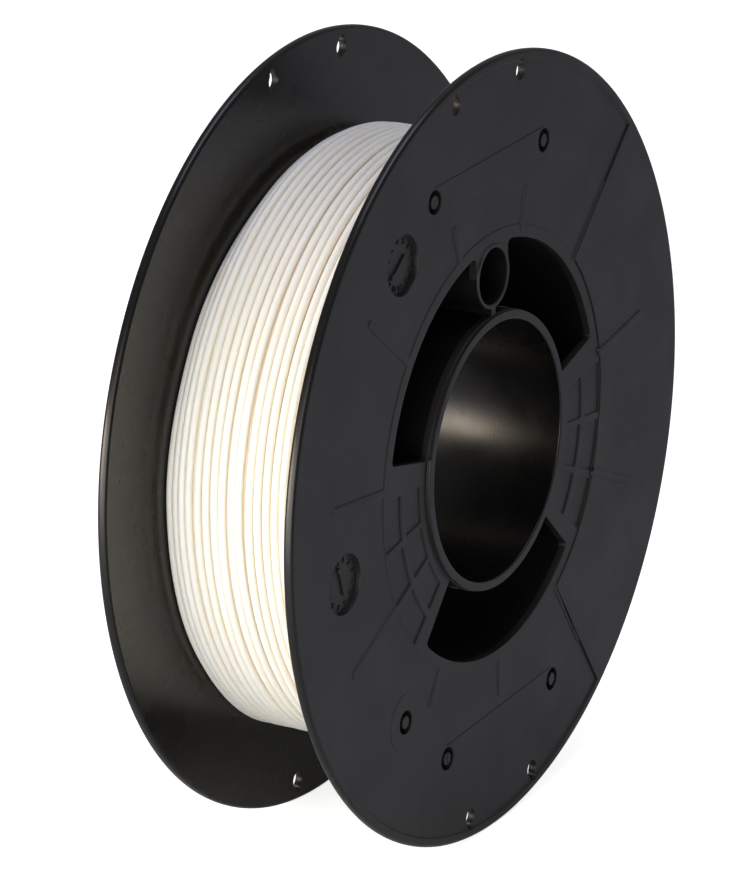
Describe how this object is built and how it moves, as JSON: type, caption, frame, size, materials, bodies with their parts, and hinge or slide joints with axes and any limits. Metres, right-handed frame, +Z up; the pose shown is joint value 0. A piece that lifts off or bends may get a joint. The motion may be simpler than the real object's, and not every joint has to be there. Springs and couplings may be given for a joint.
{
  "type": "filament spool",
  "caption": "Black moulded spool with windowed flanges and an open spindle bore, full of ivory filament for a desktop 3-D printer.",
  "frame": {"origin": "centre of the spindle bore, midway between the flanges", "axes": "+Z up with the spool standing on its rims; the spindle axis lies along Y and the front flange faces -Y; +X to the right seen from the front"},
  "size_m": [0.16, 0.0438, 0.16],
  "materials": {
    "spool_plastic": "satin charcoal black, injection moulded polystyrene",
    "filament": "smooth extruded ivory white plastic, slightly translucent"
  },
  "bodies": {
    "root": {"front_flange": "spool_plastic", "front_hub_tube": "spool_plastic", "front_barrel": "spool_plastic", "front_drive_eyelet": "spool_plastic", "back_flange": "spool_plastic", "back_hub_tube": "spool_plastic", "back_barrel": "spool_plastic", "back_drive_eyelet": "spool_plastic", "filament_winding": "filament"}
  },
  "joints": []
}
